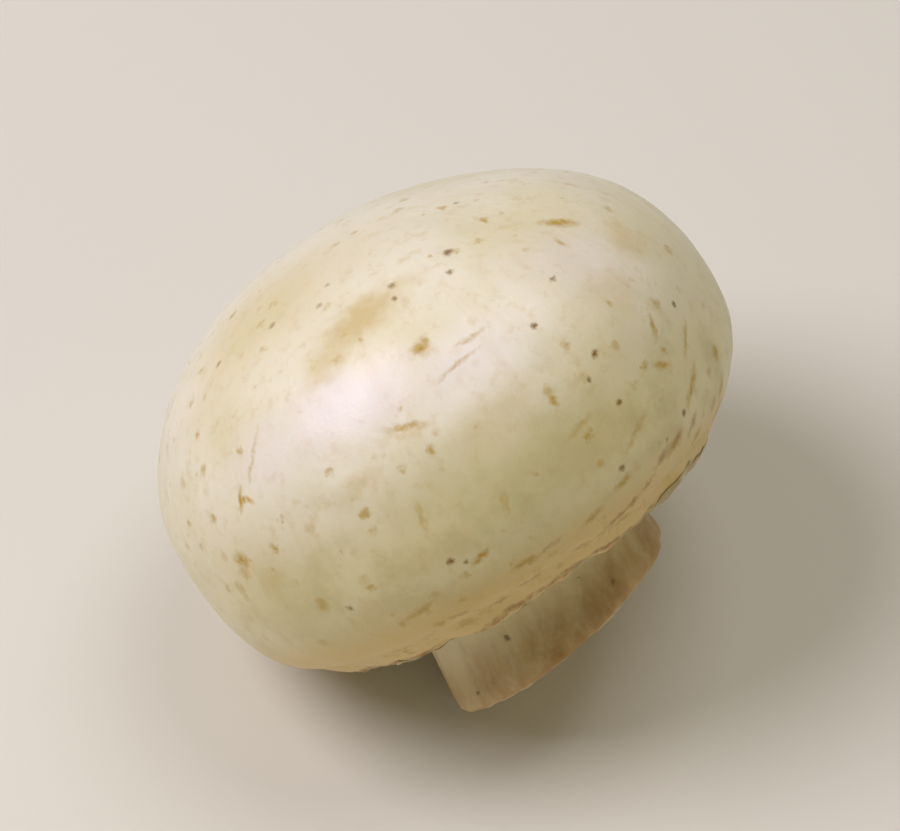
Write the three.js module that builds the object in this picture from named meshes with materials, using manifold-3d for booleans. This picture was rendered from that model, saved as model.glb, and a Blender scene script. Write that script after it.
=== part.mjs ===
// A button mushroom lying on its side: a closed cap, the cut stem that stands in it,
// and the torn veil that bridges the gap between the cap's rolled edge and the stem.
// Millimetres, +Z up. The origin is on the ground, under the middle of the mushroom.
//
// Each piece is drawn upright first, in the mushroom's own frame: the stem's axis is Z,
// the cap's widest ring is at z = 0 and the stem points down. The group then leans over
// until the flank of the cap and the cut edge of the stem touch the ground together.
import * as THREE from 'three';
import { mergeVertices } from 'three/addons/utils/BufferGeometryUtils.js';
import Module from 'manifold-3d';

const wasm = await Module();
wasm.setup();

// Cap
const capWidth = 44;
const capDepth = 42.4;
const domeHeight = 16.6; // from the widest ring up to the crown
const domeFullness = 2.12; // 2 is an ellipse, more is squarer at the shoulder
const crownShift = 0.4; // the crown sits this far back from the climbing side
const flankDepth = 11.1; // below the widest ring, if the flank ran on until it was level
const flankInner = 11; // radius at which it would be level
const flankFullness = 2.35;
const flankEnd = THREE.MathUtils.degToRad(19); // its slope where the rolled edge begins
const lipRadius = 0.9; // of the roll itself
const lipWall = 1; // inner face of the edge, from the roll up to the flesh
const swellTwo = { size: 0.3, turn: 0.5 }; // two slow swells round the flank
const swellThree = { size: 0.13, turn: -1.2 }; // three smaller ones

// Stem
const stemDiameter = 17.9; // where it leaves the cap
const stemLength = 6.9; // on the axis, from the rolled edge to the cut
const stemFlare = 0.8; // how much wider the radius is at the cut
const stemShift = 0.2; // the stem stands this far back from the climbing side
const socketDepth = 6; // how far the stem reaches up inside the cap
const stemTopRound = 1.2;

// The cut across the stem is oblique, and the cap's edge runs a little the same way:
// both climb towards one side, which is given as a turn about the axis.
const climbTurn = THREE.MathUtils.degToRad(-25);
const cutSlope = 0.19;
const rimSlope = 0.055;

// Veil
const veilGap = 5.3; // from the stem out to the inner face of the rolled edge
const veilThickness = 0.7;
const flapDrop = 0.9; // how far the torn flap hangs below the membrane
const flapWidth = 0.8;

// Fits and resting
const clearance = 0.3; // between neighbouring pieces
const restFlat = 0.35; // flesh pressed flat where the mushroom rests on the ground

// Fineness of the meshes
const capSegments = 60;
const stemSegments = 40;
const veilSegments = 48;
const domeSteps = 14;
const flankSteps = 9;
const lipSteps = 4;
const roundSteps = 4;
const searchSteps = 40;

const capRadius = capWidth / 2;
const stemRadius = stemDiameter / 2;
const edgeRadius = stemRadius + veilGap; // inner face of the rolled edge
const rimRadius = edgeRadius + lipRadius; // its lowest line
const flankEndRadius = rimRadius + lipRadius * Math.sin(flankEnd);
const flankReach = (flankEndRadius - flankInner) / (capRadius - flankInner);
const flankEndLevel = -flankDepth * (1 - flankReach ** flankFullness) ** (1 / flankFullness);
const lipLevel = flankEndLevel + lipRadius * Math.cos(flankEnd); // middle of the roll
const rimDrop = lipRadius - lipLevel; // from the widest ring down to the rolled edge
const fleshLevel = lipLevel + lipWall; // flat flesh inside the rolled edge
const stemTop = -rimDrop + socketDepth;
const cutLevel = -rimDrop - stemLength;
const climbX = Math.cos(climbTurn);
const climbY = Math.sin(climbTurn);

// One quarter of a superellipse, from its top at share 0 to its side at share 1.
function quarterCurve(share, width, height, fullness) {
  const angle = (share * Math.PI) / 2;
  const side = width * Math.sin(angle) ** (2 / fullness);
  const rise = height * Math.cos(angle) ** (2 / fullness);
  return new THREE.Vector2(side, rise);
}

// Turns a profile about Z. Its points run from the top of the axis, down the outside
// and back to the axis, or round a closed ring the same way.
function turned(profile, segments) {
  const geometry = new THREE.LatheGeometry(profile.reverse(), segments);
  geometry.rotateX(Math.PI / 2);
  geometry.deleteAttribute('normal');
  geometry.deleteAttribute('uv');
  return mergeVertices(geometry);
}

// Moves every point of a geometry with a function that changes it in place.
function shaped(geometry, change) {
  const position = geometry.attributes.position;
  const point = new THREE.Vector3();
  for (let i = 0; i < position.count; i += 1) {
    point.fromBufferAttribute(position, i);
    change(point);
    position.setXYZ(i, point.x, point.y, point.z);
  }
  return geometry;
}

function solidFrom(geometry) {
  const index = geometry.index.array;
  const triangles = [];
  for (let i = 0; i < index.length; i += 3) {
    const [a, b, c] = [index[i], index[i + 1], index[i + 2]];
    if (a !== b && b !== c && c !== a) {
      triangles.push(a, b, c);
    }
  }
  return new wasm.Manifold(new wasm.Mesh({
    numProp: 3,
    vertProperties: new Float32Array(geometry.attributes.position.array),
    triVerts: new Uint32Array(triangles),
  }));
}

function geometryFrom(solid) {
  const mesh = solid.getMesh();
  const geometry = new THREE.BufferGeometry();
  geometry.setAttribute('position', new THREE.BufferAttribute(mesh.vertProperties, 3));
  geometry.setIndex(new THREE.BufferAttribute(mesh.triVerts, 1));
  geometry.computeVertexNormals();
  return geometry;
}

// The growth of the cap: an oval plan, a slow swell round the flank, a crown set back
// and an edge that climbs to one side. The rolled edge and what is inside it stay
// round, as the stem is. The veil follows the cap.
function growCap(point) {
  const turn = Math.atan2(point.y, point.x);
  const radius = Math.hypot(point.x, point.y);
  const beyondRim = Math.max(0, (radius - rimRadius) / (capRadius - rimRadius));
  const share = point.z > 0 ? radius / capRadius : beyondRim;
  const uneven = swellTwo.size * Math.cos(2 * turn + swellTwo.turn)
    + swellThree.size * Math.cos(3 * turn + swellThree.turn);
  const stretch = 1 + (share * uneven) / capRadius;
  const squeeze = 1 + share * (capDepth / capWidth - 1);
  point.x *= stretch;
  point.y *= stretch * squeeze;
  if (point.z > 0) {
    const shift = crownShift * (point.z / domeHeight) ** 2;
    point.x -= shift * climbX;
    point.y -= shift * climbY;
  } else {
    const along = point.x * climbX + point.y * climbY;
    point.z += rimSlope * along * THREE.MathUtils.smoothstep(-point.z, 0, rimDrop);
  }
}

function capBody() {
  const profile = [];
  for (let i = 0; i <= domeSteps; i += 1) {
    profile.push(quarterCurve(i / domeSteps, capRadius, domeHeight, domeFullness));
  }
  const endShare = (Math.asin(flankReach ** (flankFullness / 2)) * 2) / Math.PI;
  for (let i = 1; i <= flankSteps; i += 1) {
    const share = THREE.MathUtils.lerp(1, endShare, i / flankSteps);
    const point = quarterCurve(share, capRadius - flankInner, -flankDepth, flankFullness);
    point.x += flankInner;
    profile.push(point);
  }
  const rollStart = flankEnd - Math.PI / 2;
  for (let i = 1; i <= lipSteps; i += 1) {
    const angle = THREE.MathUtils.lerp(rollStart, -Math.PI, i / lipSteps);
    const lip = new THREE.Vector2(Math.cos(angle), Math.sin(angle)).multiplyScalar(lipRadius);
    profile.push(new THREE.Vector2(rimRadius + lip.x, lipLevel + lip.y));
  }
  profile.push(new THREE.Vector2(edgeRadius, fleshLevel));
  profile.push(new THREE.Vector2(0, fleshLevel));
  return solidFrom(shaped(turned(profile, capSegments), growCap));
}

// The stem before its cut, grown by a margin where it makes room for itself.
function stemBody(margin) {
  const top = stemTop + margin;
  const bottom = cutLevel - stemRadius; // well below the lowest corner of the cut
  const profile = [new THREE.Vector2(0, top)];
  for (let i = 0; i <= roundSteps; i += 1) {
    const corner = quarterCurve(i / roundSteps, stemTopRound, stemTopRound, 2);
    const side = stemRadius + margin - stemTopRound + corner.x;
    profile.push(new THREE.Vector2(side, top - stemTopRound + corner.y));
  }
  profile.push(new THREE.Vector2(stemRadius + margin, -rimDrop));
  profile.push(new THREE.Vector2(stemRadius + stemFlare / 2 + margin, -rimDrop - stemLength / 2));
  profile.push(new THREE.Vector2(stemRadius + stemFlare + margin, cutLevel));
  profile.push(new THREE.Vector2(stemRadius + stemFlare + margin, bottom));
  profile.push(new THREE.Vector2(0, bottom));
  return solidFrom(shaped(turned(profile, stemSegments), (point) => {
    point.x -= stemShift * climbX;
    point.y -= stemShift * climbY;
  }));
}

// A block with its flat top through the origin, wide enough to cut any piece.
function cuttingBlock() {
  const size = 4 * capWidth;
  const block = new THREE.BoxGeometry(size, size, size);
  block.deleteAttribute('normal');
  block.deleteAttribute('uv');
  block.translate(0, 0, -size / 2);
  return mergeVertices(block);
}

function cutStem() {
  const block = cuttingBlock();
  block.rotateY(-Math.atan(cutSlope));
  block.rotateZ(climbTurn);
  block.translate(0, 0, cutLevel);
  return stemBody(0).subtract(solidFrom(block));
}

// The veil is a thin ring under the flesh, with a torn flap hanging inside the edge.
function veilBody() {
  const outside = edgeRadius - clearance;
  const inside = stemRadius - stemShift; // the stem then cuts the ring to its own width
  const top = fleshLevel - clearance;
  const under = top - veilThickness;
  const profile = [
    new THREE.Vector2(inside, top),
    new THREE.Vector2(outside, top),
    new THREE.Vector2(outside, under - flapDrop),
    new THREE.Vector2(outside - flapWidth, under - flapDrop),
    new THREE.Vector2(outside - flapWidth, under),
    new THREE.Vector2(inside, under),
    new THREE.Vector2(inside, top),
  ];
  return solidFrom(shaped(turned(profile, veilSegments), growCap));
}

function points(solid) {
  const values = solid.getMesh().vertProperties;
  const list = [];
  for (let i = 0; i < values.length; i += 3) {
    list.push(new THREE.Vector3().fromArray(values, i));
  }
  return list;
}

// Height of the lowest point once the axis has leaned over by an angle.
function lowest(list, lean) {
  const heights = list.map((point) => point.z * Math.cos(lean) - point.y * Math.sin(lean));
  return Math.min(...heights);
}

// The lean at which the cap comes down level with the stem.
function restingLean(capPoints, stemPoints) {
  let low = 0;
  let high = Math.PI / 2;
  for (let i = 0; i < searchSteps; i += 1) {
    const middle = (low + high) / 2;
    if (lowest(stemPoints, middle) < lowest(capPoints, middle)) {
      low = middle;
    } else {
      high = middle;
    }
  }
  return (low + high) / 2;
}

const stemRoom = stemBody(clearance);
const capWhole = capBody().subtract(stemRoom);
const stemWhole = cutStem();
const veilWhole = veilBody().subtract(stemRoom);

const capPoints = points(capWhole);
const lean = restingLean(capPoints, points(stemWhole));
const groundLevel = lowest(capPoints, lean) + restFlat;

const ground = cuttingBlock();
ground.translate(0, 0, groundLevel);
ground.rotateX(lean);
const groundSolid = solidFrom(ground);

function piece(name, solid, color, roughness) {
  const material = new THREE.MeshStandardMaterial({ color, roughness, metalness: 0 });
  const mesh = new THREE.Mesh(geometryFrom(solid), material);
  mesh.name = name;
  return mesh;
}

const mushroom = new THREE.Group();
mushroom.add(
  piece('cap', capWhole.subtract(groundSolid), 0xe9e0cf, 0.5),
  piece('stem', stemWhole.subtract(groundSolid), 0xd8c8b0, 0.7),
  piece('veil', veilWhole, 0xe6dfc8, 0.6),
);
mushroom.rotation.x = -lean;
mushroom.updateMatrixWorld(true);

// Sets the leaning mushroom on the ground, with the origin under its middle.
const box = new THREE.Box3().setFromObject(mushroom, true);
const middle = box.getCenter(new THREE.Vector3());
mushroom.position.set(-middle.x, -middle.y, -box.min.z);
mushroom.updateMatrixWorld(true);

export default mushroom;
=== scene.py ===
import math

import bpy
from mathutils import Matrix, Vector, noise


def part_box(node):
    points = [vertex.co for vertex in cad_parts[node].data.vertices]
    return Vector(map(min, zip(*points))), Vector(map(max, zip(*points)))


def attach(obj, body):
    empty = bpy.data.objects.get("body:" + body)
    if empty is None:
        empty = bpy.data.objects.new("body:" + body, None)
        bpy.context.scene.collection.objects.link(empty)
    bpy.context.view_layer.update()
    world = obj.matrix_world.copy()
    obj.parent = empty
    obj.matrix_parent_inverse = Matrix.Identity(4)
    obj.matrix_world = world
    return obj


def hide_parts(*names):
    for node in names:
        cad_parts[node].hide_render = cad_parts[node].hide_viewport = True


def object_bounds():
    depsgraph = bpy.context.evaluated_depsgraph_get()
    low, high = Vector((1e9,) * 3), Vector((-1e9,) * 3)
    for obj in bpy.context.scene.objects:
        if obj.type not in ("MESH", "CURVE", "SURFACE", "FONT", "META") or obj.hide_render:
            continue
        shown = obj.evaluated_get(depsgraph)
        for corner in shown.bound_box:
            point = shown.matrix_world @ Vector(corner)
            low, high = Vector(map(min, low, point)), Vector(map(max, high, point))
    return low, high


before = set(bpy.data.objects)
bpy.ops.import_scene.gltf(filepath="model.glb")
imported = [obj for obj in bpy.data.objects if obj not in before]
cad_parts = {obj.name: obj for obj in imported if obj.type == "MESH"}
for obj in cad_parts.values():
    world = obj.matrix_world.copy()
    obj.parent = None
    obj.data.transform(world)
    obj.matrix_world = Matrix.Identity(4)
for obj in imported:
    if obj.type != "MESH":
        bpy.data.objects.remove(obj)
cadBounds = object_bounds()
capLow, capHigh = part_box("cap")

# Everything is modelled upright first, stem down, with the widest ring of the cap at
# height 0, in millimetres of a mushroom this wide. Then it is laid on its side.
modelWidth = 44.53
mm = (capHigh.x - capLow.x) / modelWidth

body = {
    "capWidth": 44.0,
    "capDepth": 42.4,
    "domeHeight": 16.6,
    "domeFullness": 2.12,
    "crownShift": 0.4,  # the crown sits back from the climbing side
    "swells": ((2, 0.3, 0.5), (3, 0.13, -1.2)),  # how many round the flank, size, turn
    "flankDepth": 11.1,  # below the widest ring, if the flank ran on until it was level
    "flankInner": 11.0,  # radius at which it would be level
    "flankFullness": 2.35,
    "flankEnd": math.radians(19),  # its slope where the rim begins to roll
    "lipRadius": 0.9,
    "lipWall": 1.0,  # inner face of the rim, from the roll up to the flesh
    "rimSlope": 0.055,
    "stemRadius": 8.95,
    "stemShift": 0.2,
    "stemLength": 6.9,
    "stemFlare": 0.8,
    "cutSlope": 0.19,
    "socketDepth": 6.0,
    "gap": 0.3,  # between the stem and the cap's flesh
    "veilGap": 5.3,  # from the stem to the inner face of the rim
    "climbTurn": math.radians(-25),  # the cut and the rim climb towards this side
    "restFlat": 0.35,  # pressed flat where it lies
}
capRadius = body["capWidth"] / 2
edgeRadius = body["stemRadius"] + body["veilGap"]
rimRadius = edgeRadius + body["lipRadius"]
flankRim = rimRadius + body["lipRadius"] * math.sin(body["flankEnd"])
climb = Vector((math.cos(body["climbTurn"]), math.sin(body["climbTurn"]), 0))


def flankLevel(radius):
    full = body["flankFullness"]
    reach = (radius - body["flankInner"]) / (capRadius - body["flankInner"])
    reach = min(1.0, max(0.0, reach))
    return -body["flankDepth"] * (1 - reach ** full) ** (1 / full)


lipLevel = flankLevel(flankRim) + body["lipRadius"] * math.cos(body["flankEnd"])
rimDrop = body["lipRadius"] - lipLevel
fleshLevel = lipLevel + body["lipWall"]
cutLevel = -rimDrop - body["stemLength"]


def blend(low, high, value):
    share = min(1.0, max(0.0, (value - low) / (high - low)))
    return share * share * (3 - 2 * share)


def quarterCurve(share, width, height, fullness):
    angle = share * math.pi / 2
    side = width * math.sin(angle) ** (2 / fullness)
    return side, height * math.cos(angle) ** (2 / fullness)


def around(turn, fineness, level=0.0, seed=0.0):
    # noise that closes on itself round the axis
    across, back = math.cos(turn) * fineness, math.sin(turn) * fineness
    return noise.noise(Vector((across + seed, back - seed, level)))


def ridge(value, width):
    return math.exp(-(value / width) ** 2)


def deselectAll():
    if bpy.context.object and bpy.context.object.mode != "OBJECT":
        bpy.ops.object.mode_set(mode="OBJECT")
    bpy.ops.object.select_all(action="DESELECT")


def takeUp(piece):
    deselectAll()
    piece.select_set(True)
    bpy.context.view_layer.objects.active = piece


def raiseRings(name, rings, corners, closeStart, closeEnd):
    # one circle, extruded and resized ring after ring, as on a lathe
    deselectAll()
    radius, height = rings[0]
    bpy.ops.mesh.primitive_circle_add(
        vertices=corners, radius=radius * mm, location=(0, 0, height * mm),
        fill_type="TRIFAN" if closeStart else "NOTHING")
    piece = bpy.context.object
    piece.name = name
    bpy.ops.object.transform_apply(location=True, rotation=True, scale=True)
    bpy.ops.object.mode_set(mode="EDIT")
    bpy.ops.mesh.select_all(action="DESELECT")
    bpy.ops.mesh.select_mode(type="EDGE")
    bpy.ops.mesh.select_non_manifold(extend=False)
    for nextRadius, nextHeight in rings[1:]:
        bpy.ops.mesh.extrude_edges_move(
            TRANSFORM_OT_translate={"value": (0, 0, (nextHeight - height) * mm)})
        grow = nextRadius / radius
        bpy.ops.transform.resize(value=(grow, grow, 1), center_override=(0, 0, 0))
        radius, height = nextRadius, nextHeight
    if closeEnd:
        bpy.ops.mesh.merge(type="CENTER")
    bpy.ops.mesh.select_all(action="SELECT")
    bpy.ops.mesh.normals_make_consistent(inside=False)
    bpy.ops.object.mode_set(mode="OBJECT")
    return piece


def subdivide(piece, levels):
    takeUp(piece)
    smooth = piece.modifiers.new("Subdivision", "SUBSURF")
    smooth.levels = smooth.render_levels = levels
    bpy.ops.object.modifier_apply(modifier=smooth.name)


def movePoints(piece, change):
    # change gets a point in millimetres and its outward normal, and gives the new point
    mesh = piece.data
    normals = [vertex.normal.copy() for vertex in mesh.vertices]
    for vertex, normal in zip(mesh.vertices, normals):
        vertex.co = change(vertex.co / mm, normal) * mm
    mesh.update()


def growCap(point):
    # oval plan, slow swells, a crown set back, and a rim that climbs to one side
    turn = math.atan2(point.y, point.x)
    radius = math.hypot(point.x, point.y)
    beyondRim = max(0.0, (radius - rimRadius) / (capRadius - rimRadius))
    share = radius / capRadius if point.z > 0 else beyondRim
    uneven = sum(size * math.cos(count * turn + at) for count, size, at in body["swells"])
    stretch = 1 + share * uneven / capRadius
    squeeze = 1 + share * (body["capDepth"] / body["capWidth"] - 1)
    grown = Vector((point.x * stretch, point.y * stretch * squeeze, point.z))
    if point.z > 0:
        grown -= climb * body["crownShift"] * (point.z / body["domeHeight"]) ** 2
    else:
        grown.z += body["rimSlope"] * grown.dot(climb) * blend(0, rimDrop, -point.z)
    return grown


capLook = {
    "corners": 88,
    "flankRings": 15,
    "domeRings": 18,
    "lipRings": 5,
    "recess": 1.3,  # room for the veil under the flesh
    "dents": 0.34,  # broad hollows, grown against neighbours
    "dentSize": 8.5,
    "ripples": 0.05,
    "rippleSize": 2.4,
    "crimps": 0.3,  # short folds where the skin rolls under
    "hem": 0.5,  # the skin's rolled margin along the rim
    "hemGroove": 0.2,
    "ragged": 0.5,
}


def rimRelief(turn, fromRim):
    # how far the margin stands out: its hem, the groove behind it and short folds
    look = capLook
    wander = 0.5 * around(turn, 4.0, 0, 9.0)
    hem = look["hem"] * ridge(fromRim - 0.2 - 0.4 * wander, 0.9)
    hem -= look["hemGroove"] * ridge(fromRim - 2.3 - wander, 0.6)
    fold = look["crimps"] * around(turn, 6.0, fromRim * 0.22) * blend(5.5, 0.6, fromRim)
    return hem * (0.85 + 0.6 * around(turn, 5.0, 0, 4.0)) + fold


def rimDrape(turn, fromRim):
    # the edge hangs unevenly
    ragged = capLook["ragged"] * around(turn, 6.0, 0, 2.0) + 0.2 * around(turn, 19.0, 0, 6.0)
    return ragged * ridge(fromRim, 0.7)


def skinLump(point):
    hollow = capLook["dents"] * noise.noise(point / capLook["dentSize"] + Vector((3.1, 0.4, 7.7)))
    return hollow + capLook["ripples"] * noise.noise(point / capLook["rippleSize"])


def makeCap():
    look = capLook
    roof = -rimDrop + body["socketDepth"] + body["gap"]
    socket = body["stemRadius"] + body["gap"]
    under = fleshLevel + look["recess"]
    rings = [(0.6, roof), (4.5, roof), (socket - 0.6, roof), (socket, roof - 0.5)]
    rings += [(socket, (roof + under) / 2), (socket, under + 0.2), (socket + 0.25, under)]
    rings += [((socket + edgeRadius) / 2, under), (edgeRadius - 0.2, under)]
    rings.append((edgeRadius, under - 0.3))
    for step in range(look["lipRings"]):
        angle = math.pi + (math.pi / 2 + body["flankEnd"]) * step / look["lipRings"]
        rings.append((rimRadius + body["lipRadius"] * math.cos(angle),
                      lipLevel + body["lipRadius"] * math.sin(angle)))
    full = body["flankFullness"]
    wide = capRadius - body["flankInner"]
    first = math.asin(((flankRim - body["flankInner"]) / wide) ** (full / 2)) * 2 / math.pi
    for step in range(look["flankRings"]):
        share = first + (1 - first) * step / look["flankRings"]
        side, drop = quarterCurve(share, wide, body["flankDepth"], full)
        rings.append((body["flankInner"] + side, -drop))
    shares = [step / look["domeRings"] for step in range(look["domeRings"], 0, -1)]
    shares += [shares[-1] * 0.5, shares[-1] * 0.2]
    for share in shares:
        rings.append(quarterCurve(share, capRadius, body["domeHeight"], body["domeFullness"]))
    cap = raiseRings("cap_skin_and_flesh", rings, look["corners"], True, True)
    subdivide(cap, 2)

    def shape(point, normal):
        turn = math.atan2(point.y, point.x)
        radius = math.hypot(point.x, point.y)
        outside = blend(edgeRadius + 0.3, rimRadius, radius) if point.z < 0 else 1.0
        fromRim = radius - flankRim
        low = blend(-4, -7, point.z)
        relief = skinLump(point) + low * rimRelief(turn, fromRim)
        grown = growCap(point) + normal * outside * relief
        grown.z -= rimDrape(turn, fromRim) * outside * low
        return grown

    movePoints(cap, shape)
    print("cap modelled:", len(cap.data.polygons), "faces")
    return cap


stemLook = {
    "corners": 72,
    "sideRings": 14,
    "cutRings": 12,
    "edgeRound": 0.7,
    "folds": 0.3,  # lengthwise ribs
    "fibres": 0.08,
    "nicks": 0.16,  # unevenness of the cut edge
    "cutRelief": 0.16,
    "cracks": ((-1.9, 2.6, 0.5), (1.0, 3.4, 0.45), (1.7, 2.2, 0.35), (2.9, 1.8, 0.4)),
}


def makeStem():
    look = stemLook
    radius = body["stemRadius"]
    top = -rimDrop + body["socketDepth"]
    shoulder = top - 1.2
    rings = [(0.6, top), (4.0, top), (radius - 1.2, top), (radius - 0.35, top - 0.35)]
    rings.append((radius, shoulder))
    for step in range(1, look["sideRings"]):
        share = step / (look["sideRings"] - 1)
        level = shoulder + (cutLevel + look["edgeRound"] - shoulder) * share
        flare = body["stemFlare"] * max(0.0, (-rimDrop - level) / body["stemLength"])
        rings.append((radius + flare, level))
    wide = radius + body["stemFlare"]
    rings += [(wide - 0.2, cutLevel + 0.2), (wide - look["edgeRound"], cutLevel)]
    for step in range(1, look["cutRings"]):
        rings.append(((wide - look["edgeRound"]) * (1 - step / look["cutRings"]), cutLevel))
    rings.append((0.35, cutLevel))
    stem = raiseRings("cut_stem", rings, look["corners"], True, True)
    subdivide(stem, 2)

    def shape(point, normal):
        turn = math.atan2(point.y, point.x)
        ring = math.hypot(point.x, point.y)
        down = blend(-rimDrop + 3, cutLevel, point.z)
        onCut = blend(cutLevel + 0.3, cutLevel, point.z)
        side = blend(radius - 2.5, radius, ring)
        folds = look["folds"] * around(turn, 2.6, point.z * 0.07) * (0.4 + 0.6 * down)
        folds += look["fibres"] * around(turn, 16.0, point.z * 0.2 + 4)
        folds += look["nicks"] * around(turn, 9.0, 0, 5.0) * blend(cutLevel + 1.2, cutLevel, point.z)
        outward = Vector((math.cos(turn), math.sin(turn), 0))
        shaped = point + outward * folds * side
        oval = 1 + 0.02 * math.cos(2 * turn - 0.5) * down
        shaped.x *= oval
        shaped.y *= oval
        shaped.z += body["cutSlope"] * shaped.dot(climb) * down
        relief = noise.noise(point * 0.55 + Vector((5, 5, 5))) + 0.5 * noise.noise(point * 1.7)
        shaped.z += look["cutRelief"] * relief * onCut
        for crackTurn, length, depth in look["cracks"]:
            wander = 0.06 * noise.noise(Vector((ring * 0.9, crackTurn, 0)))
            across = (turn - crackTurn - wander) * ring
            reach = blend(wide - length, wide - 0.4, ring)
            shaped.z += depth * reach * onCut * ridge(across, 0.22)
        return shaped - climb * body["stemShift"]

    movePoints(stem, shape)
    print("stem modelled:", len(stem.data.polygons), "faces")
    return stem


veilLook = {
    "corners": 360,
    "membraneRings": 8,
    "collarRings": 12,
    "thickness": 0.09,
    "lift": 0.06,  # how far the collar stands off the rim
    "wall": 0.9,  # collar on the inner face of the rim
    "hollow": 0.85,  # how far the membrane is drawn up between stem and rim
    "fullReach": 5.2,  # the widest collar, from the membrane over the rim and out on the skin
    "tornBack": 2.5,  # what is left of it where no flap is
    "flaps": ((-62, 30, 3.45), (-157, 11, 3.0), (-131, 5, 2.8), (-108, 4, 3.0), (22, 20, 3.9),
              (75, 24, 4.1), (140, 18, 4.4), (178, 9, 2.9)),  # turn, half width in degrees, reach
    "fray": 0.75,
    "curl": 0.12,
}


def collarPoint(distance):
    # down the inside of the rim, round it and out along the skin
    lift = veilLook["lift"]
    roll = body["lipRadius"] + lift
    bend = roll * (math.pi / 2 + body["flankEnd"])
    distance -= veilLook["wall"]
    if distance < 0:
        return edgeRadius - lift, lipLevel - distance
    if distance < bend:
        angle = math.pi + distance / roll
        return rimRadius + roll * math.cos(angle), lipLevel + roll * math.sin(angle)
    radius = flankRim + lift * math.sin(body["flankEnd"]) + (distance - bend) * 0.93
    return radius, flankLevel(radius) - lift


def collarReach(turn):
    look = veilLook
    reach = look["tornBack"]
    for flapTurn, halfWidth, flapReach in look["flaps"]:
        off = abs(math.remainder(turn - math.radians(flapTurn), math.tau))
        share = blend(math.radians(halfWidth), math.radians(halfWidth) * 0.55, off)
        reach = max(reach, look["tornBack"] + (flapReach - look["tornBack"]) * share)
    fray = around(turn, 5.0, 0, 8.0) + 0.8 * around(turn, 15.0, 0, 1.0) + 0.5 * around(turn, 40.0)
    return min(look["fullReach"], reach + look["fray"] * fray)


def makeVeil():
    look = veilLook
    inner = body["stemRadius"] + 0.12
    start = collarPoint(0.0)
    rings = []
    for step in range(look["membraneRings"] + 1):
        rings.append((inner + (start[0] - inner) * step / look["membraneRings"], start[1]))
    for step in range(1, look["collarRings"] + 1):
        rings.append(collarPoint(look["fullReach"] * step / look["collarRings"]))
    veil = raiseRings("torn_veil", rings, look["corners"], False, False)
    lowestAt = look["wall"] + (body["lipRadius"] + look["lift"]) * math.pi / 2

    def shape(point, normal):
        turn = math.atan2(point.y, point.x)
        ring = math.hypot(point.x, point.y)
        if point.z >= start[1] - 0.001 and ring <= start[0] + 0.001:
            share = (ring - inner) / (start[0] - inner)
            arch = look["hollow"] * max(0.0, math.sin(math.pi * share)) ** 0.8
            crease = 0.16 * around(turn, 12.0, share * 2) * math.sin(math.pi * share)
            arched = Vector((point.x, point.y, point.z + arch + crease))
            return growCap(arched) - climb * body["stemShift"] * (1 - share)
        low, high = 0.0, look["fullReach"]
        for _ in range(24):
            middle = (low + high) / 2
            radiusThere, levelThere = collarPoint(middle)
            beyond = levelThere > point.z if middle < lowestAt else radiusThere < ring
            low, high = (middle, high) if beyond else (low, middle)
        # the rings are gathered in to what is left of the collar at this turn
        distance = low * collarReach(turn) / look["fullReach"]
        toRadius, toLevel = collarPoint(distance)
        nextRadius, nextLevel = collarPoint(distance + 0.01)
        outward = Vector((nextLevel - toLevel, toRadius - nextRadius)).normalized()
        # it follows the skin, and its torn edge curls away here and there
        outside = blend(edgeRadius + 0.3, rimRadius, toRadius)
        place = Vector((math.cos(turn) * toRadius, math.sin(turn) * toRadius, toLevel))
        relief = outside * (skinLump(place) + rimRelief(turn, toRadius - flankRim))
        edge = blend(0.6, 1.0, low / look["fullReach"])
        relief += look["curl"] * edge * max(0.0, around(turn, 6.0, 0, 12.0) - 0.1)
        fromAxis = toRadius + outward.x * relief
        level = toLevel + outward.y * relief - outside * rimDrape(turn, toRadius - flankRim)
        return growCap(Vector((math.cos(turn) * fromAxis, math.sin(turn) * fromAxis, level)))

    movePoints(veil, shape)
    takeUp(veil)
    wall = veil.modifiers.new("Thickness", "SOLIDIFY")
    wall.thickness = look["thickness"] * mm
    wall.offset = 0
    bpy.ops.object.modifier_apply(modifier=wall.name)
    subdivide(veil, 1)
    print("veil modelled:", len(veil.data.polygons), "faces")
    return veil


cap = makeCap()
stem = makeStem()
veil = makeVeil()
pieces = [cap, stem, veil]


def lowest(piece, lean):
    up = Vector((0, -math.sin(lean), math.cos(lean)))
    return min(vertex.co.dot(up) for vertex in piece.data.vertices)


def layDown():
    # lean over until the cap and the stem come down level, then settle onto the flats
    low, high = math.radians(20), math.radians(80)
    for _ in range(14):
        lean = (low + high) / 2
        if lowest(stem, lean) < lowest(cap, lean):
            low = lean
        else:
            high = lean
    ground = lowest(cap, lean) + body["restFlat"] * mm
    for piece in pieces:
        takeUp(piece)
        piece.rotation_euler.x = -lean
        bpy.ops.object.transform_apply(location=True, rotation=True, scale=True)
        for vertex in piece.data.vertices:
            vertex.co.z = max(vertex.co.z, ground)
    corners = [vertex.co for vertex in cap.data.vertices]
    middle = [(min(c[i] for c in corners) + max(c[i] for c in corners)) / 2 for i in (0, 1)]
    wanted = (capLow + capHigh) / 2
    shift = Vector((wanted.x - middle[0], wanted.y - middle[1], -ground))
    for piece in pieces:
        piece.data.transform(Matrix.Translation(shift))
        piece.data.update()
    print("laid down, leaning", round(math.degrees(lean), 2), "degrees")
    return lean, shift


lean, shift = layDown()
uprightTurn = Matrix.Rotation(lean, 3, "X")
for piece in pieces:
    takeUp(piece)
    bpy.ops.object.shade_smooth()


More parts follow.
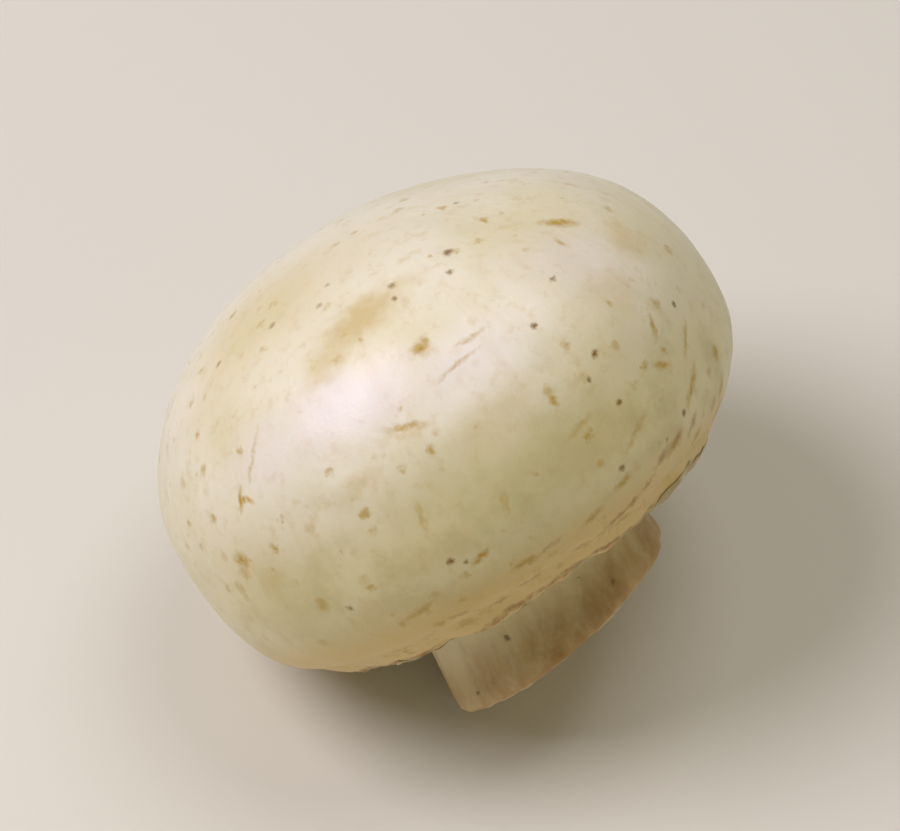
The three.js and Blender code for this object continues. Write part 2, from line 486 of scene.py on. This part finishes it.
view = {
    "azimuth": math.radians(-43),
    "elevation": math.radians(50),
    "distance": 0.40,
    "share": 0.64,  # of the picture's width that the mushroom takes
    "seenWidth": 42.0,  # of the mushroom from there, in millimetres
    "sensorWidth": 36.0,
}
cadLow, cadHigh = (Vector(corner) for corner in cadBounds)
centre = (cadLow + cadHigh) / 2
lookAlong = Vector((-math.sin(view["azimuth"]) * math.cos(view["elevation"]),
                    math.cos(view["azimuth"]) * math.cos(view["elevation"]),
                    -math.sin(view["elevation"])))
rightward = Vector((math.cos(view["azimuth"]), math.sin(view["azimuth"]), 0))
upward = rightward.cross(lookAlong)


def makeCamera():
    camera = bpy.data.objects.new("camera", bpy.data.cameras.new("camera"))
    bpy.context.collection.objects.link(camera)
    camera.location = centre - lookAlong * view["distance"]
    camera.rotation_euler = lookAlong.to_track_quat("-Z", "Y").to_euler()
    camera.data.sensor_width = view["sensorWidth"]
    enlarged = view["share"] * view["sensorWidth"] / (view["seenWidth"] * mm)
    camera.data.lens = enlarged * view["distance"]
    camera.data.clip_start = 0.01
    bpy.context.scene.camera = camera


makeCamera()


def colour(red, green, blue):
    # from the 0 to 255 of a colour picker to what a shader takes
    def linear(value):
        share = value / 255
        return share / 12.92 if share <= 0.04045 else ((share + 0.055) / 1.055) ** 2.4
    return (linear(red), linear(green), linear(blue), 1.0)


def addNode(tree, kind, inputs=None, **settings):
    made = tree.nodes.new(kind)
    for key, value in settings.items():
        setattr(made, key, value)
    for key, value in (inputs or {}).items():
        if isinstance(value, bpy.types.NodeSocket):
            tree.links.new(value, made.inputs[key])
        else:
            made.inputs[key].default_value = value
    return made


def calculate(tree, operation, first, second=0.0, third=0.0, clamp=False):
    made = addNode(tree, "ShaderNodeMath", {0: first, 1: second, 2: third}, operation=operation)
    made.use_clamp = clamp
    return made.outputs[0]


def vectorMath(tree, operation, first, second=(0, 0, 0), output="Vector"):
    made = addNode(tree, "ShaderNodeVectorMath", {0: first, 1: second}, operation=operation)
    return made.outputs[output]


def times(tree, first, second):
    return calculate(tree, "MULTIPLY", first, second)


def moved(tree, point, by):
    return vectorMath(tree, "ADD", point, by)


def scaled(tree, vector, amount):
    made = addNode(tree, "ShaderNodeVectorMath", {0: vector, "Scale": amount}, operation="SCALE")
    return made.outputs[0]


def ramp(tree, value, low, high, toLow=0.0, toHigh=1.0):
    return addNode(tree, "ShaderNodeMapRange", {
        "Value": value, "From Min": low, "From Max": high, "To Min": toLow, "To Max": toHigh,
    }, interpolation_type="SMOOTHSTEP").outputs[0]


def cloud(tree, point, scale, detail=3.0, roughness=0.55):
    return addNode(tree, "ShaderNodeTexNoise", {
        "Vector": point, "Scale": scale, "Detail": detail, "Roughness": roughness,
    }).outputs["Fac"]


def shaken(tree, point, scale, amount):
    # the point pushed about by noise, so that an outline comes out uneven
    wobble = addNode(tree, "ShaderNodeTexNoise", {"Vector": point, "Scale": scale, "Detail": 3.0})
    centred = vectorMath(tree, "SUBTRACT", wobble.outputs["Color"], (0.5, 0.5, 0.5))
    return vectorMath(tree, "ADD", point, scaled(tree, centred, amount))


def tint(tree, base, over, amount):
    made = addNode(tree, "ShaderNodeMix", data_type="RGBA")
    for slotIndex, value in ((0, amount), (6, base), (7, over)):
        if isinstance(value, bpy.types.NodeSocket):
            tree.links.new(value, made.inputs[slotIndex])
        else:
            made.inputs[slotIndex].default_value = value
    return made.outputs[2]


def newGroup(name, inputs, outputs):
    group = bpy.data.node_groups.new(name, "ShaderNodeTree")
    for label, value in inputs.items():
        kind = "NodeSocketVector" if value is None else "NodeSocketFloat"
        made = group.interface.new_socket(label, in_out="INPUT", socket_type=kind)
        if value is not None:
            made.default_value = value
    for label in outputs:
        group.interface.new_socket(label, in_out="OUTPUT", socket_type="NodeSocketFloat")
    given = group.nodes.new("NodeGroupInput").outputs
    return group, given, group.nodes.new("NodeGroupOutput").inputs


def useGroup(tree, group, values):
    made = tree.nodes.new("ShaderNodeGroup")
    made.node_tree = group
    for key, value in values.items():
        if isinstance(value, bpy.types.NodeSocket):
            tree.links.new(value, made.inputs[key])
        else:
            made.inputs[key].default_value = value
    return made.outputs


def newMaterial(name):
    material = bpy.data.materials.new(name)
    material.use_nodes = True
    return material, material.node_tree, material.node_tree.nodes["Principled BSDF"]


def setSockets(shader, values):
    for label, value in values.items():
        shader.inputs[label].default_value = value


def addBump(tree, shader, height, strength, depth):
    bump = addNode(tree, "ShaderNodeBump", {
        "Height": height, "Strength": strength, "Distance": depth * mm})
    tree.links.new(bump.outputs[0], shader.inputs["Normal"])


def axisDistance(tree, point):
    flat = vectorMath(tree, "MULTIPLY", point, (1, 1, 0))
    return vectorMath(tree, "LENGTH", flat, output="Value")


def offFrom(tree, value, level):
    return calculate(tree, "ABSOLUTE", calculate(tree, "SUBTRACT", value, level))


def uprightPoint(tree):
    # the point in millimetres as if the mushroom still stood on its stem
    where = addNode(tree, "ShaderNodeTexCoord").outputs["Object"]
    back = -(uprightTurn @ shift) / mm
    return addNode(tree, "ShaderNodeMapping", {
        "Vector": where, "Scale": (1 / mm, 1 / mm, 1 / mm), "Rotation": (lean, 0, 0),
        "Location": back,
    }).outputs[0]


def makeFibreGroup():
    # fine streaks that run from the axis outwards and down, dense and never crossing
    group, given, out = newGroup("lengthwise fibres", {
        "Point": None, "Across": 20.0, "Along": 0.2}, ["Fibres"])
    apart = addNode(group, "ShaderNodeSeparateXYZ", {0: given["Point"]}).outputs
    flat = vectorMath(group, "MULTIPLY", given["Point"], (1, 1, 0))
    facing = scaled(group, vectorMath(group, "NORMALIZE", flat), given["Across"])
    wander = cloud(group, given["Point"], 0.3, 2.0)
    level = calculate(group, "MULTIPLY_ADD", apart[2], given["Along"], wander)
    lifted = addNode(group, "ShaderNodeCombineXYZ", {2: level}).outputs[0]
    streaks = cloud(group, vectorMath(group, "ADD", facing, lifted), 1.0, 4.0, 0.65)
    group.links.new(streaks, out["Fibres"])
    return group


def makeSpeckGroup():
    # small scattered specks with uneven outlines; Amount is the share of cells that have one
    group, given, out = newGroup("soil specks", {
        "Point": None, "Spacing": 3.0, "Size": 0.3, "Amount": 0.3, "Softness": 0.1}, ["Mask", "Tone"])
    shrink = calculate(group, "DIVIDE", 1.0, given["Spacing"])
    where = shaken(group, given["Point"], 2.0, 0.9)
    cells = addNode(group, "ShaderNodeTexVoronoi", {
        "Vector": where, "Scale": shrink}, feature="F1").outputs
    pick = addNode(group, "ShaderNodeSeparateColor", {0: cells["Color"]}).outputs
    reach = times(group, given["Size"], calculate(group, "MULTIPLY_ADD", pick[1], 0.9, 0.35))
    inside = calculate(group, "SUBTRACT", reach, times(group, cells["Distance"], given["Spacing"]))
    mask = ramp(group, inside, times(group, given["Softness"], -0.5), given["Softness"])
    chosen = calculate(group, "LESS_THAN", pick[0], given["Amount"])
    group.links.new(times(group, mask, chosen), out["Mask"])
    group.links.new(pick[2], out["Tone"])
    return group


def makeMarkGroup():
    # one mark: a long soft-edged patch at a place, lying along a direction
    group, given, out = newGroup("skin mark", {
        "Point": None, "Place": None, "Direction": None, "Half Length": 1.0, "Half Width": 0.4,
        "Softness": 0.3}, ["Mask"])
    offset = vectorMath(group, "SUBTRACT", given["Point"], given["Place"])
    along = vectorMath(group, "DOT_PRODUCT", offset, given["Direction"], "Value")
    side = vectorMath(group, "SUBTRACT", offset, scaled(group, given["Direction"], along))
    sideways = vectorMath(group, "LENGTH", side, output="Value")
    sideways = calculate(group, "DIVIDE", sideways, given["Half Width"])
    lengthways = calculate(group, "DIVIDE", along, given["Half Length"])
    square = calculate(group, "MULTIPLY_ADD", sideways, sideways, times(group, lengthways, lengthways))
    reach = calculate(group, "SQRT", square)
    outer = calculate(group, "ADD", 1.0, given["Softness"])
    inner = calculate(group, "SUBTRACT", 1.0, given["Softness"])
    group.links.new(ramp(group, reach, outer, inner), out["Mask"])
    return group


fibreGroup = makeFibreGroup()
speckGroup = makeSpeckGroup()
markGroup = makeMarkGroup()

# Marks on the side that faces up: across and down from the middle of the widest ring,
# then half length, half width, turn in degrees and strength. The specks have no turn.
# The broad ones come first: warm washes, partly the cap's own tone and partly painted shade,
# olive patches of painted shade and pale patches of painted highlight.
# warm washes, partly the cap's own cream tone and partly painted shade
toneAndShadeWashes = ((-6.6, -13.6, 9.5, 4.4, 12, 0.38), (-17.4, 4.6, 5.5, 3.4, -70, 0.3))
# olive patches of painted shade
paintedOliveShade = (
    (5.7, 5.2, 5.5, 2.4, 5, 0.5), (-1.4, 3.6, 5.0, 2.2, 0, 0.35), (12.5, 2.0, 3.5, 2.0, 30, 0.25),
    (-15.5, 6.0, 4.0, 3.0, -60, 0.35),
)
# pale patches of painted highlight where the lamps catch the cap
paintedHighlights = (
    (-5.5, -4.4, 5.4, 2.2, -8, 0.62), (-11.5, -4.6, 3.8, 2.0, -10, 0.34), (2.5, -3.0, 4.4, 2.2, 0, 0.34),
    (13.3, -5.6, 4.5, 2.8, 0, 0.3),
)
stains = (
    (-2.0, -9.2, 3.4, 1.5, 14, 0.75), (-4.9, -7.9, 2.4, 1.1, 24, 0.5), (1.0, -9.9, 2.2, 0.9, 0, 0.35),
    (17.2, -4.8, 1.6, 1.2, 60, 0.4), (-7.3, 0.8, 1.2, 0.7, 0, 0.5), (-5.5, 7.6, 2.6, 1.3, 10, 0.3),
    (-16.5, 4.0, 1.4, 0.9, 30, 0.35), (8.0, 6.5, 3.0, 1.6, 5, 0.3), (3.0, 1.5, 3.5, 1.5, 15, 0.2),
    (-11.5, 9.2, 2.4, 0.9, 25, 0.4), (14.6, -2.2, 2.2, 1.4, -10, 0.3), (-3.4, -0.8, 1.4, 0.5, -15, 0.3),
)
scuffs = (
    (0.8, -5.2, 0.55, 0.3, 0, 0.75), (1.3, -5.5, 0.3, 0.3, 0, 0.5), (-15.5, -2.4, 0.7, 0.16, 55, 0.6),
    (-15.1, -2.2, 0.6, 0.15, -35, 0.55), (-17.6, 1.3, 0.55, 0.4, 70, 0.8),
    (-17.9, 2.2, 0.4, 0.3, 70, 0.4),
    (-18.8, 3.0, 0.35, 0.3, 0, 0.4), (-14.2, 6.9, 0.35, 0.3, 0, 0.45), (-2.8, -1.0, 1.3, 0.16, -22, 0.45),
    (-5.0, 4.9, 0.9, 0.16, 75, 0.3), (7.7, 5.0, 1.2, 0.18, 8, 0.3), (13.7, -8.2, 1.1, 0.26, -8, 0.55),
    (13.1, -6.8, 0.4, 0.15, -70, 0.35), (14.9, 4.2, 0.8, 0.18, -25, 0.5), (16.1, 6.5, 1.4, 0.2, 20, 0.55),
    (18.9, 5.4, 0.5, 0.24, 60, 0.55), (16.7, 9.3, 1.1, 0.26, 35, 0.7), (14.4, 10.0, 0.9, 0.2, 24, 0.6),
    (12.7, 9.6, 0.8, 0.2, 15, 0.5), (8.4, 9.9, 0.7, 0.18, 8, 0.5), (-2.9, 9.4, 0.7, 0.15, 25, 0.65),
    (4.1, -4.2, 1.1, 0.13, 10, 0.35), (15.8, 1.5, 0.8, 0.15, 65, 0.45), (17.4, 3.4, 1.2, 0.14, 30, 0.4),
    (-8.5, 10.6, 1.3, 0.16, 25, 0.4), (0.5, 7.0, 0.8, 0.15, 75, 0.25), (-0.6, 11.3, 0.9, 0.16, 5, 0.45),
    (2.4, -3.0, 1.6, 0.12, 12, 0.3), (-13.4, -4.4, 1.9, 0.1, 48, 0.25), (10.8, 7.4, 1.6, 0.13, 22, 0.3),
    (18.0, 7.8, 0.8, 0.2, 48, 0.5), (5.4, 10.9, 0.8, 0.16, 10, 0.4),
)
rimDashes = (
    (11.7, 9.8, 0.9, 0.18, 10, 0.7), (13.3, 9.2, 0.6, 0.2, 14, 0.75), (14.8, 8.9, 0.8, 0.16, 22, 0.7),
    (16.9, 8.5, 0.5, 0.2, 36, 0.6), (9.9, 10.9, 0.6, 0.14, 8, 0.6), (8.4, 11.5, 0.6, 0.16, 6, 0.8),
    (6.8, 11.9, 0.9, 0.14, 4, 0.85), (3.6, 12.3, 0.6, 0.13, 2, 0.6), (-0.6, 12.6, 0.9, 0.13, 0, 0.6),
    (-3.2, 12.8, 0.6, 0.12, 0, 0.6), (1.6, 11.2, 1.0, 0.12, 8, 0.4), (-6.4, 12.2, 0.8, 0.12, -4, 0.5),
)
specks = (
    (5.8, -10.2, 0.34, 0.22, 0.7), (5.2, -8.9, 0.22, 0.2, 0.6), (1.2, -10.1, 0.22, 0.2, 0.55),
    (0.9, -9.2, 0.18, 0.16, 0.6), (-3.9, -11.5, 0.22, 0.2, 0.4), (-2.7, -12.5, 0.18, 0.16, 0.35),
    (-7.5, -12.0, 0.32, 0.18, 0.45), (-12.2, -11.6, 0.3, 0.16, 0.5), (8.2, -13.1, 0.16, 0.14, 0.5),
    (8.4, -2.7, 0.22, 0.17, 0.85), (11.1, 1.1, 0.32, 0.17, 0.8), (9.8, 2.5, 0.18, 0.15, 0.7),
    (10.9, 4.9, 0.22, 0.19, 0.75), (8.8, 9.0, 0.26, 0.2, 0.7), (-4.8, 8.6, 0.24, 0.2, 0.8),
    (-3.9, 9.2, 0.16, 0.14, 0.7), (11.2, -4.9, 0.28, 0.16, 0.6), (17.9, 0.9, 0.22, 0.17, 0.7),
    (14.6, 7.9, 0.24, 0.19, 0.85), (-12.6, 8.0, 0.18, 0.16, 0.6), (12.6, 8.9, 0.14, 0.12, 0.6),
)

toViewer = -(uprightTurn @ lookAlong)
acrossView = (climb - toViewer * climb.dot(toViewer)).normalized()
downView = acrossView.cross(toViewer)
if downView.z > 0:
    downView = -downView


def onSkin(across, down, turn):
    # where the mark lies on the cap, and which way it runs, in upright millimetres
    start = acrossView * across + downView * down + toViewer * 60
    origin = uprightTurn.inverted() @ (start * mm) + shift
    hit, place, normal, _ = cap.ray_cast(origin, lookAlong)
    if not hit:
        return None
    place = uprightTurn @ (place - shift) / mm
    normal = uprightTurn @ normal
    angle = math.radians(turn)
    run = acrossView * math.cos(angle) - downView * math.sin(angle)
    run = (run - normal * run.dot(normal)).normalized()
    return place, run


def markMasks(tree, point, marks, softness, fineness, uneven, widen=1.0, stronger=1.0):
    # the strongest of several marks at each point
    where = shaken(tree, point, fineness, uneven)
    total = None
    for across, down, halfLength, halfWidth, turn, strength in marks:
        found = onSkin(across, down, turn)
        if not found:
            print("mark off the cap:", across, down)
            continue
        mask = useGroup(tree, markGroup, {
            "Point": where, "Place": found[0], "Direction": found[1], "Half Length": halfLength,
            "Half Width": halfWidth * widen, "Softness": softness})["Mask"]
        mask = times(tree, mask, min(1.0, strength * stronger))
        total = mask if total is None else calculate(tree, "MAXIMUM", total, mask)
    return total


skin = {
    "white": colour(243, 236, 221),
    "paintedHighlight": colour(240, 229, 240),
    "toneAndShadeWash": colour(220, 198, 144),
    "cream": colour(221, 209, 158),
    "olive": colour(194, 184, 126),
    "rimTan": colour(222, 190, 110),
    "stain": colour(206, 180, 116),
    "scuff": colour(186, 148, 22),
    "speck": colour(136, 100, 22),
    "rust": colour(168, 118, 26),
    "roughness": 0.42,
    "bump": (0.5, 0.08),  # strength, and depth in millimetres
    "sockets": {
        "Subsurface Weight": 0.3,
        "Subsurface Radius": (1.0, 0.7, 0.45),
        "Subsurface Scale": 0.0013,
        "Specular IOR Level": 0.5,
        "Coat Weight": 0.3,
        "Coat Roughness": 0.42,
        "Sheen Weight": 0.12,
        "Sheen Roughness": 0.5,
    },
}


def makeCapSkin():
    material, tree, shader = newMaterial("mushroom skin")
    point = uprightPoint(tree)
    height = addNode(tree, "ShaderNodeSeparateXYZ", {0: point}).outputs[2]
    radius = axisDistance(tree, point)
    fibres = useGroup(tree, fibreGroup, {"Point": point, "Across": 16.0, "Along": 0.12})["Fibres"]
    awayFromCrown = ramp(tree, radius, 2.0, 9.0)

    # broad cream and olive clouds over white, yellower towards the rim, partly the cap's own tone and
    # partly painted shade
    broad = cloud(tree, point, 0.085, 3.0, 0.5)
    patchy = cloud(tree, moved(tree, point, (31.0, 7.0, 3.0)), 0.26, 4.0, 0.6)
    mottle = cloud(tree, moved(tree, point, (3.0, 17.0, 9.0)), 0.9, 4.0, 0.6)
    shade = tint(tree, skin["white"], skin["cream"], ramp(tree, broad, 0.36, 0.7, 0.1, 0.6))
    low = ramp(tree, calculate(tree, "MULTIPLY_ADD", broad, 8.0, height), 9.5, 0.0)
    shade = tint(tree, shade, skin["cream"], times(tree, low, 0.85))
    olive = times(tree, ramp(tree, patchy, 0.42, 0.72), calculate(tree, "MULTIPLY_ADD", low, 0.5, 0.1))
    shade = tint(tree, shade, skin["olive"], olive)
    shade = tint(tree, shade, skin["stain"], times(tree, ramp(tree, mottle, 0.5, 0.74), 0.34))
    shade = tint(tree, shade, skin["rimTan"], ramp(tree, height, -5.0, -9.0, 0.0, 0.9))
    streaks = times(tree, ramp(tree, fibres, 0.5, 0.8), times(tree, awayFromCrown, 0.22))
    shade = tint(tree, shade, skin["stain"], streaks)

    # washes of cream tone and painted shade, olive painted shade, pale painted highlight, bruises, scuffs
    # and specks
    shade = tint(tree, shade, skin["toneAndShadeWash"], markMasks(
        tree, point, toneAndShadeWashes, softness=0.9, fineness=0.25, uneven=3.0))
    shade = tint(tree, shade, skin["olive"], markMasks(
        tree, point, paintedOliveShade, softness=0.9, fineness=0.25, uneven=3.0))
    shade = tint(tree, shade, skin["paintedHighlight"], markMasks(
        tree, point, paintedHighlights, softness=0.9, fineness=0.3, uneven=2.0))
    stainMask = markMasks(tree, point, stains, softness=0.8, fineness=0.9, uneven=2.2)
    shade = tint(tree, shade, skin["stain"], stainMask)
    flecks = useGroup(tree, speckGroup, {
        "Point": point, "Spacing": 1.7, "Size": 0.4, "Amount": 0.55, "Softness": 0.3})
    fleckTone = calculate(tree, "MULTIPLY_ADD", flecks["Tone"], 0.6, 0.25)
    shade = tint(tree, shade, skin["scuff"], times(tree, flecks["Mask"], fleckTone))
    scuffMask = markMasks(
        tree, point, scuffs, softness=0.9, fineness=1.5, uneven=0.8, widen=1.5, stronger=1.8)
    spotty = ramp(tree, cloud(tree, point, 1.8, 3.0, 0.6), 0.34, 0.56, 0.6, 1.0)
    scuffMask = times(tree, scuffMask, spotty)
    shade = tint(tree, shade, skin["scuff"], scuffMask)
    dashMask = markMasks(
        tree, point, rimDashes, softness=0.9, fineness=1.8, uneven=1.0, widen=1.5, stronger=1.15)
    shade = tint(tree, shade, skin["rust"], dashMask)
    grains = useGroup(tree, speckGroup, {
        "Point": moved(tree, point, (9.0, 2.0, 5.0)), "Spacing": 4.2, "Size": 0.17, "Amount": 0.3,
        "Softness": 0.12})
    placed = [(across, down, long, wide, 30, strength) for across, down, long, wide, strength in specks]
    speckMask = markMasks(
        tree, point, placed, softness=0.8, fineness=3.0, uneven=0.5, widen=1.15, stronger=1.3)
    speckMask = calculate(tree, "MAXIMUM", speckMask, times(tree, grains["Mask"], 0.6))
    shade = tint(tree, shade, skin["speck"], speckMask)

    # worn patches behind the hem and a broken rust line along it
    wander = times(tree, calculate(tree, "SUBTRACT", cloud(tree, point, 0.45, 4.0, 0.7), 0.5), 1.0)
    fromRim = calculate(tree, "SUBTRACT", calculate(tree, "ADD", radius, wander), flankRim)
    under = ramp(tree, height, -6.5, -8.5)
    behind = ramp(tree, offFrom(tree, fromRim, 2.2), 1.4, 0.1)
    worn = cloud(tree, moved(tree, point, (7.0, 1.0, 4.0)), 0.75, 5.0, 0.75)
    worn = times(tree, ramp(tree, worn, 0.51, 0.64), ramp(tree, broad, 0.35, 0.6, 0.35, 0.8))
    shade = tint(tree, shade, skin["scuff"], times(tree, times(tree, behind, worn), under))
    line = ramp(tree, offFrom(tree, fromRim, 0.65), 0.36, 0.1)
    broken = cloud(tree, moved(tree, point, (5.0, 3.0, 2.0)), 0.45, 5.0, 0.75)
    line = times(tree, line, ramp(tree, broken, 0.38, 0.6, 0.15, 1.0))
    shade = tint(tree, shade, skin["rust"], times(tree, line, under))

    tree.links.new(shade, shader.inputs["Base Color"])
    marked = calculate(tree, "MAXIMUM", scuffMask, stainMask)
    rough = calculate(tree, "MULTIPLY_ADD", marked, 0.2, skin["roughness"])
    rough = calculate(tree, "MULTIPLY_ADD", calculate(tree, "SUBTRACT", patchy, 0.5), 0.25, rough)
    tree.links.new(rough, shader.inputs["Roughness"])

    # silky fibres, pores and slight pits at the marks
    relief = times(tree, times(tree, fibres, awayFromCrown), 0.6)
    for part, share in (
            (cloud(tree, point, 4.5, 5.0, 0.65), 0.35), (cloud(tree, point, 1.1, 3.0), 0.8),
            (scuffMask, -0.7), (speckMask, 0.4)):
        relief = calculate(tree, "MULTIPLY_ADD", part, share, relief)
    addBump(tree, shader, relief, *skin["bump"])
    setSockets(shader, skin["sockets"])
    return material


flesh = {
    "side": colour(220, 200, 156),
    "sidePaintedLight": colour(244, 234, 200),
    "sideDark": colour(152, 110, 50),
    "sideTan": colour(190, 154, 96),
    "cut": colour(218, 198, 160),
    "cutDark": colour(184, 154, 112),
    "pith": colour(222, 214, 182),
    "outline": colour(168, 122, 60),
    "speck": colour(96, 64, 34),
    "bump": (0.7, 0.12),
    "sockets": {
        "Subsurface Weight": 0.3,
        "Subsurface Radius": (1.0, 0.6, 0.36),
        "Subsurface Scale": 0.002,
        "Specular IOR Level": 0.4,
    },
}


def makeStemFlesh():
    material, tree, shader = newMaterial("mushroom stem")
    point = uprightPoint(tree)
    height = addNode(tree, "ShaderNodeSeparateXYZ", {0: point}).outputs[2]
    radius = axisDistance(tree, point)
    # height above the slanting cut
    sloped = vectorMath(tree, "DOT_PRODUCT", point, tuple(climb * body["cutSlope"]), "Value")
    above = calculate(tree, "SUBTRACT", calculate(tree, "SUBTRACT", height, cutLevel), sloped)

    # side: pale fibres over tan, made lighter under the cap with painted light,
    # and browner towards the cut, partly its own browning and partly painted shade
    coarse = useGroup(tree, fibreGroup, {"Point": point, "Across": 2.6, "Along": 0.14})["Fibres"]
    fine = useGroup(tree, fibreGroup, {"Point": point, "Across": 12.0, "Along": 0.4})["Fibres"]
    side = tint(tree, flesh["side"], flesh["sideTan"], ramp(tree, coarse, 0.4, 0.66, 0.0, 0.7))
    # painted light under the cap
    side = tint(tree, side, flesh["sidePaintedLight"], ramp(tree, above, 2.0, 6.5, 0.0, 0.8))
    side = tint(tree, side, flesh["sideDark"], ramp(tree, fine, 0.5, 0.8, 0.0, 0.22))
    patch = ramp(tree, cloud(tree, point, 0.24, 4.0, 0.6), 0.4, 0.65)
    # towards the cut: the stem's own browning with painted shade over it
    nearCut = times(tree, ramp(tree, above, 5.5, 0.2), calculate(tree, "MULTIPLY_ADD", patch, 0.7, 0.3))
    side = tint(tree, side, flesh["sideDark"], times(tree, nearCut, 0.7))

    # cut face: mottled tan with slanting slice marks and a paler pith in the middle
    slices = addNode(tree, "ShaderNodeMapping", {
        "Vector": shaken(tree, point, 0.4, 1.2), "Rotation": (0, 0, math.radians(35)),
        "Scale": (0.35, 2.6, 0.35)})
    slices = cloud(tree, slices.outputs[0], 1.0, 4.0, 0.6)
    rays = useGroup(tree, fibreGroup, {"Point": point, "Across": 7.0, "Along": 0.1})["Fibres"]
    grain = cloud(tree, point, 2.2, 5.0, 0.7)
    cut = tint(tree, flesh["cut"], flesh["cutDark"], ramp(tree, patch, 0.2, 0.9, 0.0, 0.45))
    cut = tint(tree, cut, flesh["cutDark"], ramp(tree, slices, 0.5, 0.72, 0.0, 0.4))
    rays = times(tree, ramp(tree, rays, 0.5, 0.75, 0.0, 0.3), ramp(tree, radius, 4.0, 8.0))
    cut = tint(tree, cut, flesh["cutDark"], rays)
    cut = tint(tree, cut, flesh["cutDark"], ramp(tree, grain, 0.52, 0.74, 0.0, 0.35))
    uneven = calculate(tree, "MULTIPLY_ADD", cloud(tree, point, 0.4, 3.0), 2.4, radius)
    cut = tint(tree, cut, flesh["pith"], ramp(tree, uneven, 5.2, 3.6, 0.0, 0.75))
    onCut = ramp(tree, above, 0.35, 0.1)
    shade = tint(tree, side, cut, onCut)

    # a broken orange-brown outline round the cut
    edge = times(tree, ramp(tree, radius, 8.8, 9.4), ramp(tree, above, 0.7, 0.25))
    breaks = ramp(tree, cloud(tree, moved(tree, point, (4.0, 8.0, 1.0)), 0.35, 3.0), 0.4, 0.62, 0.0, 0.6)
    shade = tint(tree, shade, flesh["outline"], times(tree, edge, breaks))
    grains = useGroup(tree, speckGroup, {
        "Point": point, "Spacing": 2.6, "Size": 0.3, "Amount": 0.6, "Softness": 0.16})
    shade = tint(tree, shade, flesh["speck"], times(tree, grains["Mask"], 0.7))
    tree.links.new(shade, shader.inputs["Base Color"])
    tree.links.new(calculate(tree, "MULTIPLY_ADD", fine, 0.25, 0.5), shader.inputs["Roughness"])

    relief = calculate(tree, "MULTIPLY_ADD", coarse, 1.2, times(tree, fine, 0.5))
    sliced = times(tree, calculate(tree, "ADD", grain, slices), onCut)
    relief = calculate(tree, "MULTIPLY_ADD", sliced, 1.2, relief)
    addBump(tree, shader, relief, *flesh["bump"])
    setSockets(shader, flesh["sockets"])
    return material


membrane = {
    "pale": colour(236, 230, 204),
    "green": colour(212, 208, 172),
    "tan": colour(190, 156, 94),
    "bump": (0.6, 0.06),
    "sockets": {
        "Subsurface Weight": 0.4,
        "Subsurface Radius": (1.0, 0.75, 0.5),
        "Subsurface Scale": 0.001,
    },
}


def makeVeilMembrane():
    material, tree, shader = newMaterial("veil membrane")
    point = uprightPoint(tree)
    fibres = useGroup(tree, fibreGroup, {"Point": point, "Across": 26.0, "Along": 0.3})["Fibres"]
    patch = cloud(tree, point, 0.5, 4.0, 0.6)
    shade = tint(tree, membrane["pale"], membrane["green"], ramp(tree, patch, 0.4, 0.65))
    dried = cloud(tree, moved(tree, point, (2.0, 6.0, 4.0)), 0.8, 4.0, 0.7)
    shade = tint(tree, shade, membrane["tan"], ramp(tree, dried, 0.54, 0.72, 0.0, 0.6))
    shade = tint(tree, shade, membrane["tan"], ramp(tree, fibres, 0.55, 0.8, 0.0, 0.3))
    outer = ramp(tree, axisDistance(tree, point), rimRadius, rimRadius + 0.8)
    shade = tint(tree, shade, membrane["tan"], times(tree, outer, ramp(tree, dried, 0.3, 0.6, 0.25, 0.9)))
    tree.links.new(shade, shader.inputs["Base Color"])
    tree.links.new(calculate(tree, "MULTIPLY_ADD", patch, 0.2, 0.4), shader.inputs["Roughness"])
    relief = calculate(tree, "MULTIPLY_ADD", cloud(tree, point, 2.5, 4.0), 0.8, fibres)
    addBump(tree, shader, relief, *membrane["bump"])
    setSockets(shader, membrane["sockets"])
    return material


for piece, node, slotName, makeFinish in (
        (cap, "cap", "cap_skin", makeCapSkin),
        (stem, "stem", "stem_flesh", makeStemFlesh),
        (veil, "veil", "veil_membrane", makeVeilMembrane)):
    piece.data.materials.clear()
    piece.data.materials.append(makeFinish())
    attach(piece, "root")
    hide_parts(node)
    print("finished", piece.name)


studio = {
    "floorSize": 3.0,
    "floor": colour(226, 222, 214),
    "world": colour(238, 230, 196),
    "worldStrength": 0.21,
    # aside, above and nearer than the mushroom as the camera sees it, size, power, colour
    "key": (-0.3, 0.24, 0.34, 0.3, 1.8, (1.0, 0.96, 1.02)),
    "top": (0.12, 0.42, 0.34, 0.3, 0.8, (1.0, 0.97, 0.98)),
    "fill": (0.45, -0.06, 0.3, 0.5, 0.24, (1.0, 0.95, 0.72)),
}


def makeFloor():
    deselectAll()
    bpy.ops.mesh.primitive_plane_add(size=studio["floorSize"], location=(0, 0, 0))
    floor = bpy.context.object
    floor.name = "floor"
    material, _, shader = newMaterial("floor")
    setSockets(shader, {"Base Color": studio["floor"], "Roughness": 0.8})
    floor.data.materials.append(material)


def addLight(name):
    # placed from the camera's own directions, aimed at the mushroom
    aside, above, nearer, size, power, tone = studio[name]
    light = bpy.data.objects.new(name, bpy.data.lights.new(name, "AREA"))
    bpy.context.collection.objects.link(light)
    light.location = centre + rightward * aside + upward * above - lookAlong * nearer
    light.rotation_euler = (centre - light.location).to_track_quat("-Z", "Y").to_euler()
    light.data.shape = "DISK"
    light.data.size = size
    light.data.energy = power
    light.data.color = tone


def makeLight():
    world = bpy.data.worlds.new("studio")
    world.use_nodes = True
    background = world.node_tree.nodes["Background"]
    background.inputs["Color"].default_value = studio["world"]
    background.inputs["Strength"].default_value = studio["worldStrength"]
    bpy.context.scene.world = world
    for name in ("key", "top", "fill"):
        addLight(name)
    bpy.context.scene.view_settings.view_transform = "Standard"


makeFloor()
makeLight()
print("floor and light ready")
